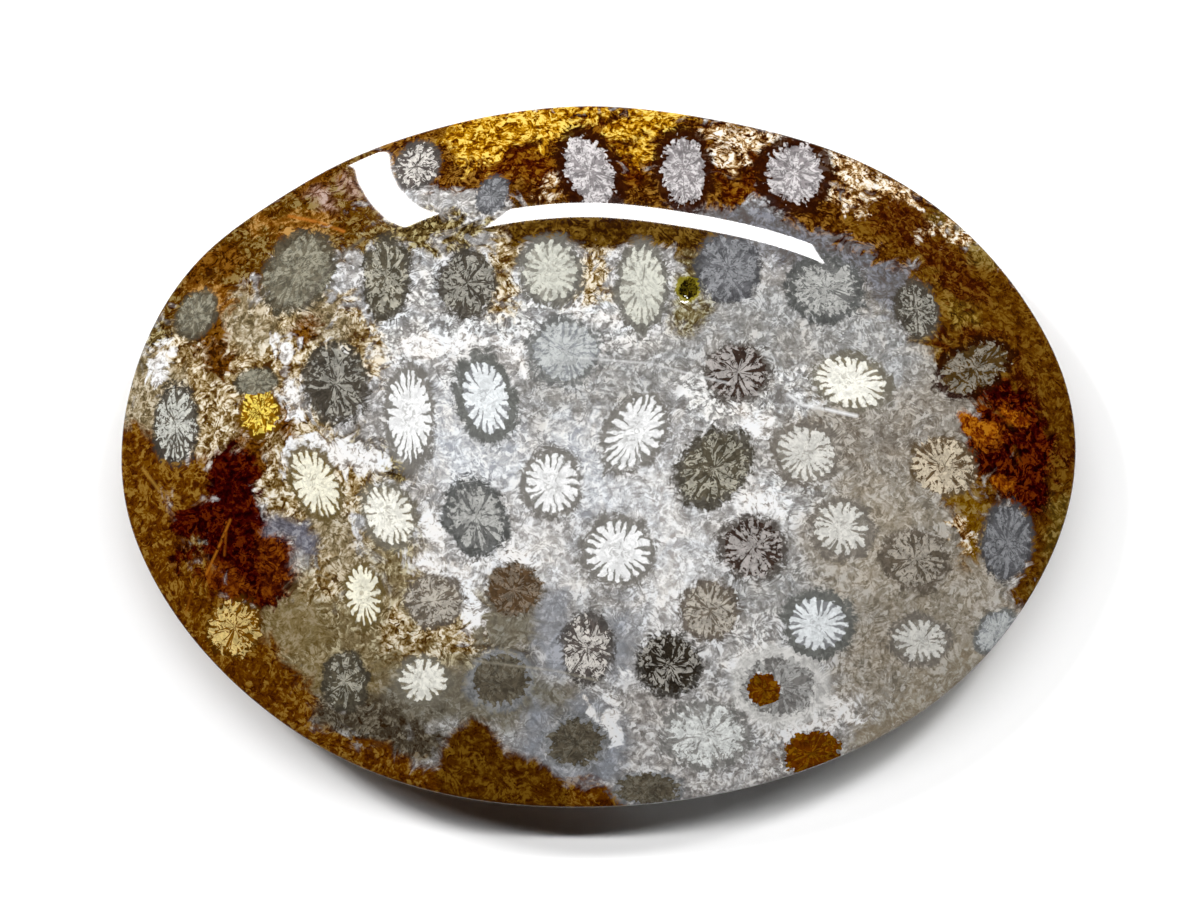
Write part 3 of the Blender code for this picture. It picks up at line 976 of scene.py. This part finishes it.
def septa_gaps(tree, place, across, along, away, kink, septa_count, seed):
    """How far a point is inside a gap between two septa, and its distance from that gap's middle."""
    # The septa wander a little, so neither their spacing nor their gaps are ruled.
    drift = add(tree, "TexNoise", {"Vector": place, **DRIFT_NOISE})
    drift = add(tree, "Math", (drift, NOISE_MIDDLE), operation="SUBTRACT")
    turn = add(tree, "Math", (across, along), operation="ARCTAN2")
    turn = add(tree, "Math", (drift, SEPTA_DRIFT, turn), operation="MULTIPLY_ADD")
    turn = add(tree, "Math", (kink, SEPTA_KINK, turn), operation="MULTIPLY_ADD")
    beat = add(tree, "Math", (turn, septa_count), operation="MULTIPLY")
    beat = add(tree, "Math", (beat, 1 / (2 * math.pi)), operation="MULTIPLY")
    septum = add(tree, "Math", (beat,), operation="FLOOR")
    part = add(tree, "Math", (beat,), operation="FRACT")
    chance_key = add(tree, "CombineXYZ", (septum, seed))
    chances = add(tree, "TexWhiteNoise", {"Vector": chance_key}, output="Color")
    onset_chance, width_chance, shift_chance = add(tree, "SeparateColor", (chances,)).node.outputs
    gap_middle = add(tree, "MapRange", (shift_chance, 0.0, 1.0, 0.5 - GAP_SHIFT, 0.5 + GAP_SHIFT))
    from_gap = add(tree, "Math", (part, gap_middle), operation="SUBTRACT")
    from_gap = add(tree, "Math", (from_gap,), operation="ABSOLUTE")

    # Each gap opens at its own distance from the middle and widens to the rim.
    onset = add(tree, "MapRange", (onset_chance, 0.0, 1.0, *GAP_ONSET))
    onset = add(tree, "Math", (kink, -ONSET_WANDER, onset), operation="MULTIPLY_ADD")
    past = add(tree, "Math", (away, onset), operation="SUBTRACT")
    widest = add(tree, "MapRange", (width_chance, 0.0, 1.0, *GAP_WIDTH))
    width = add(tree, "MapRange", (past, *GAP_TAPER, GAP_TIP, widest))
    gap = add(tree, "Math", (width, from_gap), operation="SUBTRACT")
    opening = add(tree, "MapRange", (past, *GAP_OPENING, -SWING, SWING))
    return add(tree, "Math", (gap, opening), operation="MINIMUM"), from_gap


def laid_cups(tree, ground, place, speck, wander):
    """Each cup: a dim moat, septa round a tangled middle, and dark gaps between the septa."""
    in_cup = add(tree, "Attribute", output="Vector", attribute_name="cup_place")
    along, across, seed = add(tree, "SeparateXYZ", (in_cup,)).node.outputs
    form = add(tree, "Attribute", output="Vector", attribute_name="cup_form")
    septa_count, moat_reach, disorder = add(tree, "SeparateXYZ", (form,)).node.outputs
    flat = add(tree, "CombineXYZ", (along, across))
    away = add(tree, "VectorMath", (flat,), output="Value", operation="LENGTH")
    heading = add(tree, "VectorMath", (flat,), operation="NORMALIZE")
    threads = cup_threads(tree, heading, away, seed)
    kink = add(tree, "TexNoise", {"Vector": place, **KINK_NOISE})
    kink = add(tree, "Math", (kink, NOISE_MIDDLE), operation="SUBTRACT")
    gap, from_gap = septa_gaps(tree, place, across, along, away, kink, septa_count, seed)

    # The middle is a tangle of curled threads, and so is the whole of a disordered cup.
    thread_gap = add(tree, "MapRange", (threads, *THREAD_BAND, SWING, -SWING), clamp=False)
    tangle = add(tree, "TexNoise", {"Vector": place, **TANGLE_NOISE})
    tangle = add(tree, "MapRange", (tangle, *TANGLE_BAND, SWING, -SWING), clamp=False)
    core = add(tree, "MapRange", (away, *CORE_FADE, CORE_STRENGTH, 0.0))
    hollow = add(tree, "MapRange", (tangle, *GAP_FADE, 0.0, core), interpolation_type="SMOOTHSTEP")
    frayed = add(tree, "Math", (thread_gap, tangle), operation="MAXIMUM")
    broken = add(tree, "Mix", {0: disorder, NUMBER_A: gap, NUMBER_B: frayed})
    dark = add(tree, "MapRange", (broken, *GAP_FADE), interpolation_type="SMOOTHSTEP")
    dark = add(tree, "Math", (dark, hollow), operation="MAXIMUM")

    # Fine shading of the septa.
    darkest = add(tree, "MapRange", (disorder, 0.0, 1.0, *DARK_SHADES))
    lightest = add(tree, "MapRange", (disorder, 0.0, 1.0, *LIGHT_SHADES))
    shade = add(tree, "MapRange", (speck, *SHADE_BAND, darkest, lightest))
    septa, gaps, moat = (
        add(tree, "Attribute", output="Color", attribute_name=name) for name in CUP_COLOURS)
    petals = add(tree, "Mix", {0: dark, COLOUR_A: septa, COLOUR_B: gaps}, data_type="RGBA")
    petals = add(tree, "VectorMath", {0: petals, "Scale": shade}, operation="SCALE")
    moat = add(tree, "VectorMath", {0: moat, "Scale": shade}, operation="SCALE")

    # A scalloped, frayed rim.
    fray = add(tree, "MapRange", (disorder, 0.0, 1.0, *RIM_FRAY))
    rim = add(tree, "Math", (from_gap, SCALLOP, RIM_PLACE), operation="MULTIPLY_ADD")
    rim = add(tree, "Math", (kink, fray, rim), operation="MULTIPLY_ADD")
    uneven = add(tree, "Math", (threads, NOISE_MIDDLE), operation="SUBTRACT")
    rim = add(tree, "Math", (uneven, fray, rim), operation="MULTIPLY_ADD")
    inside = add(tree, "Math", (rim, away), operation="SUBTRACT")
    cover = add(tree, "MapRange", (inside, -RIM_FADE, RIM_FADE), interpolation_type="SMOOTHSTEP")

    reach = add(tree, "Math", (wander, MOAT_WANDER, moat_reach), operation="MULTIPLY_ADD")
    ragged = add(tree, "Math", (speck, NOISE_MIDDLE), operation="SUBTRACT")
    reach = add(tree, "Math", (ragged, -MOAT_FRAY, reach), operation="MULTIPLY_ADD")
    past_rim = add(tree, "Math", (away, reach), operation="SUBTRACT")
    moat_cover = add(tree, "MapRange", (past_rim, *MOAT_FADE, MOAT_STRENGTH, 0.0),
                     interpolation_type="SMOOTHSTEP")
    colour = add(tree, "Mix", {0: moat_cover, COLOUR_A: ground, COLOUR_B: moat}, data_type="RGBA")
    return add(tree, "Mix", {0: cover, COLOUR_A: colour, COLOUR_B: petals}, data_type="RGBA")


def laid_cracks(tree, ground, wander):
    """Healed cracks: thin lines that come and go."""
    in_crack = add(tree, "Attribute", output="Vector", attribute_name="crack_place")
    aside, from_start, from_end = add(tree, "SeparateXYZ", (in_crack,)).node.outputs
    form = add(tree, "Attribute", output="Vector", attribute_name="crack_form")
    half_width, strength, _unused = add(tree, "SeparateXYZ", (form,)).node.outputs
    colour = add(tree, "Attribute", output="Color", attribute_name="crack_colour")
    aside = add(tree, "Math", (aside,), operation="ABSOLUTE")
    width = add(tree, "Math", (half_width, 2.0), operation="MULTIPLY")
    line = add(tree, "MapRange", (aside, width, 0.0))
    ends = add(tree, "Math", (from_start, from_end), operation="MINIMUM")
    ends = add(tree, "MapRange", (ends, -CRACK_END, CRACK_END))
    breaks = add(tree, "MapRange", (wander, *CRACK_BREAKS, CRACK_FAINTEST, 1.0))
    cover = line
    for part in (ends, breaks, strength):
        cover = add(tree, "Math", (cover, part), operation="MULTIPLY")
    return add(tree, "Mix", {0: cover, COLOUR_A: ground, COLOUR_B: colour}, data_type="RGBA")


def polished_agatised_coral(settings):
    """Coral turned to chalcedony, lapped and polished: quartz gloss over colour held in the stone."""
    # The eye sees sharp reflections on a face that has no relief, with all the pattern beneath it.
    material = bpy.data.materials.new(SLOT)
    material.use_nodes = True
    tree = material.node_tree
    surface = tree.nodes["Principled BSDF"]
    place = add(tree, "TexCoord", output="Object")
    place = add(tree, "VectorMath", {0: place, "Scale": 1 / MM}, operation="SCALE")
    speck = speck_pattern(tree, place, settings.speck_contrast)
    wander = edge_wander(tree, place)
    colour = stained_ground(tree, speck, wander)
    colour = warm_and_cool(tree, place, colour)
    colour = laid_cups(tree, colour, place, speck, wander)
    colour = laid_cracks(tree, colour, wander)
    tree.links.new(colour, surface.inputs["Base Color"])
    surface.inputs["Roughness"].default_value = settings.polish_roughness
    surface.inputs["IOR"].default_value = QUARTZ_IOR
    return material


# The studio.


def aimed(thing, place, target):
    """Puts a light or a camera in place and turns it to its target."""
    thing.location = place
    thing.rotation_mode = "QUATERNION"
    thing.rotation_quaternion = (Vector(target) - Vector(place)).to_track_quat("-Z", "Y")


def around(target, distance, azimuth, elevation):
    """A point at that distance from the target. Azimuth 0 is +X and 90 is +Y."""
    flat = distance * math.cos(math.radians(elevation))
    return Vector(target) + Vector((
        flat * math.cos(math.radians(azimuth)),
        flat * math.sin(math.radians(azimuth)),
        distance * math.sin(math.radians(elevation)),
    ))


def add_panel(level, name, azimuth, elevation, distance, size, roll, radiance, in_gloss, in_diffuse):
    """A soft panel, by the radiance of its face, so that its size changes without its brightness."""
    length, width = size
    light = bpy.data.lights.new(name, "AREA")
    light.shape = "RECTANGLE"
    light.size = length
    light.size_y = width
    light.energy = level * radiance * length * width * math.pi
    panel = bpy.data.objects.new(name, light)
    bpy.context.scene.collection.objects.link(panel)
    middle = (0.0, 0.0, CAD_HIGH.z)
    aimed(panel, around(middle, distance, azimuth, elevation), middle)
    panel.rotation_quaternion @= Quaternion((0.0, 0.0, 1.0), math.radians(roll))
    panel.visible_camera = False
    panel.visible_glossy = in_gloss
    panel.visible_diffuse = in_diffuse


def add_floor(settings):
    """A plain pale sheet of card under the stone."""
    bpy.ops.mesh.primitive_plane_add(size=settings.floor_size, location=(0.0, 0.0, CAD_LOW.z))
    floor = bpy.context.object
    floor.name = "studio_floor"
    # Uncoated white card: the eye sees an even pale ground with soft shadows and no reflections.
    card = bpy.data.materials.new("matt_white_card")
    card.use_nodes = True
    surface = card.node_tree.nodes["Principled BSDF"]
    surface.inputs["Base Color"].default_value = (*settings.floor_colour, 1.0)
    surface.inputs["Roughness"].default_value = CARD_ROUGHNESS
    surface.inputs["Specular IOR Level"].default_value = 0.0
    floor.data.materials.append(card)


def add_room(settings):
    """A dim room, which only the camera sees as white."""
    world = bpy.data.worlds.new("studio_room")
    bpy.context.scene.world = world
    world.use_nodes = True
    tree = world.node_tree
    room = tree.nodes["Background"]
    room.inputs["Color"].default_value = (1.0, 1.0, 1.0, 1.0)
    seen = add(tree, "LightPath", output="Is Camera Ray")
    level = add(tree, "MapRange", (seen, 0.0, 1.0, settings.room_level, 1.0))
    tree.links.new(level, room.inputs["Strength"])


def add_lights(settings):
    """Softboxes overhead and to either side, and the panels that the polish mirrors."""
    for values in PANELS:
        add_panel(settings.panel_level, *values)


def add_camera(settings):
    """The camera looks down on the stone from the front."""
    lens = bpy.data.cameras.new("camera")
    lens.lens = settings.lens
    lens.sensor_width = SENSOR_WIDTH
    lens.clip_start = NEAREST_SEEN
    camera = bpy.data.objects.new("camera", lens)
    bpy.context.scene.collection.objects.link(camera)
    place = around(CAMERA_TARGET, settings.camera_distance, CAMERA_AZIMUTH, CAMERA_ELEVATION)
    aimed(camera, place, CAMERA_TARGET)
    bpy.context.scene.camera = camera


# Settings, operators and panel.


class StoneSettings(bpy.types.PropertyGroup):
    """Sizes and finish of the stone."""

    length: FloatProperty(
        name="Length", description="Length of the stone", default=CAD_SIZE.x, unit="LENGTH")
    width: FloatProperty(
        name="Width", description="Width of the stone", default=CAD_SIZE.y, unit="LENGTH")
    thickness: FloatProperty(
        name="Thickness", description="Height of the stone", default=CAD_SIZE.z, unit="LENGTH")
    levels: IntProperty(
        name="Smoothing levels", description="How often the cage is subdivided",
        default=4, min=1, max=4)
    waviness: FloatProperty(
        name="Waviness", description="Depth of the waves that hand polishing left",
        default=0.00003, precision=5, unit="LENGTH")
    polish_roughness: FloatProperty(
        name="Roughness", description="Roughness of the polish", default=0.035,
        min=0.0, max=1.0, subtype="FACTOR")
    speck_contrast: FloatProperty(
        name="Speck contrast", description="How far light and dark specks differ",
        default=1.4, min=0.0, max=3.0, subtype="FACTOR")


class StageSettings(bpy.types.PropertyGroup):
    """The floor, the lights and the camera."""

    floor_colour: FloatVectorProperty(
        name="Floor colour", description="Colour of the card under the stone",
        default=hex_colour("#fafafa")[:3], subtype="COLOR", min=0.0, max=1.0)
    floor_size: FloatProperty(
        name="Floor size", description="Side of the card", default=1.6, unit="LENGTH")
    room_level: FloatProperty(
        name="Room level", description="Light that comes from the room itself",
        default=0.003, min=0.0)
    panel_level: FloatProperty(
        name="Panel level", description="Brightness of the panels", default=1.0, min=0.0)
    camera_distance: FloatProperty(
        name="Camera distance", description="From the camera to the stone",
        default=0.1632, unit="LENGTH")
    lens: FloatProperty(
        name="Focal length", description="Focal length in millimetres", default=100.0, min=1.0)


class CORAL_OT_stone(bpy.types.Operator):
    """Builds the polished stone"""

    bl_idname = "coral.stone"
    bl_label = "Stone"

    def execute(self, context):
        settings = context.scene.coral_stone
        mesh = subdivided(stone_cage(settings.length, settings.width), settings.levels)
        fit_and_polish(mesh, settings.waviness, (settings.length, settings.width, settings.thickness))
        mark_stone(mesh)
        mesh.shade_smooth()
        mesh.materials.clear()
        mesh.materials.append(polished_agatised_coral(settings))
        mesh.name = "polished_coral_stone"
        stone = bpy.data.objects.new("polished_coral_stone", mesh)
        context.scene.collection.objects.link(stone)
        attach(stone, "root")
        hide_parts(NODE)
        return {"FINISHED"}


class CORAL_OT_stage(bpy.types.Operator):
    """Builds the floor, the lights and the camera"""

    bl_idname = "coral.stage"
    bl_label = "Stage"

    def execute(self, context):
        settings = context.scene.coral_stage
        add_floor(settings)
        add_room(settings)
        add_lights(settings)
        add_camera(settings)
        context.scene.view_settings.view_transform = "Standard"
        return {"FINISHED"}


class CORAL_PT_panel(bpy.types.Panel):
    """Lists the stone's and the stage's settings and operators"""

    bl_label = "Fossil coral"
    bl_space_type = "VIEW_3D"
    bl_region_type = "UI"
    bl_category = "Fossil coral"

    def draw(self, context):
        for operator, settings in (
            (CORAL_OT_stone, context.scene.coral_stone),
            (CORAL_OT_stage, context.scene.coral_stage),
        ):
            box = self.layout.box()
            for name in settings.bl_rna.properties.keys():
                if name not in ("rna_type", "name"):
                    box.prop(settings, name)
            box.operator(operator.bl_idname)


CLASSES = (StoneSettings, StageSettings, CORAL_OT_stone, CORAL_OT_stage, CORAL_PT_panel)


def register():
    """Registers the classes and their settings."""
    for entry in CLASSES:
        bpy.utils.register_class(entry)
    bpy.types.Scene.coral_stone = PointerProperty(type=StoneSettings)
    bpy.types.Scene.coral_stage = PointerProperty(type=StageSettings)


def unregister():
    """Takes back what register did."""
    del bpy.types.Scene.coral_stage
    del bpy.types.Scene.coral_stone
    for entry in reversed(CLASSES):
        bpy.utils.unregister_class(entry)


def main():
    """Builds the stone and its studio."""
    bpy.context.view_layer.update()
    register()
    bpy.ops.coral.stone()
    bpy.ops.coral.stage()
    bpy.context.view_layer.update()


if __name__ == "__main__":
    main()
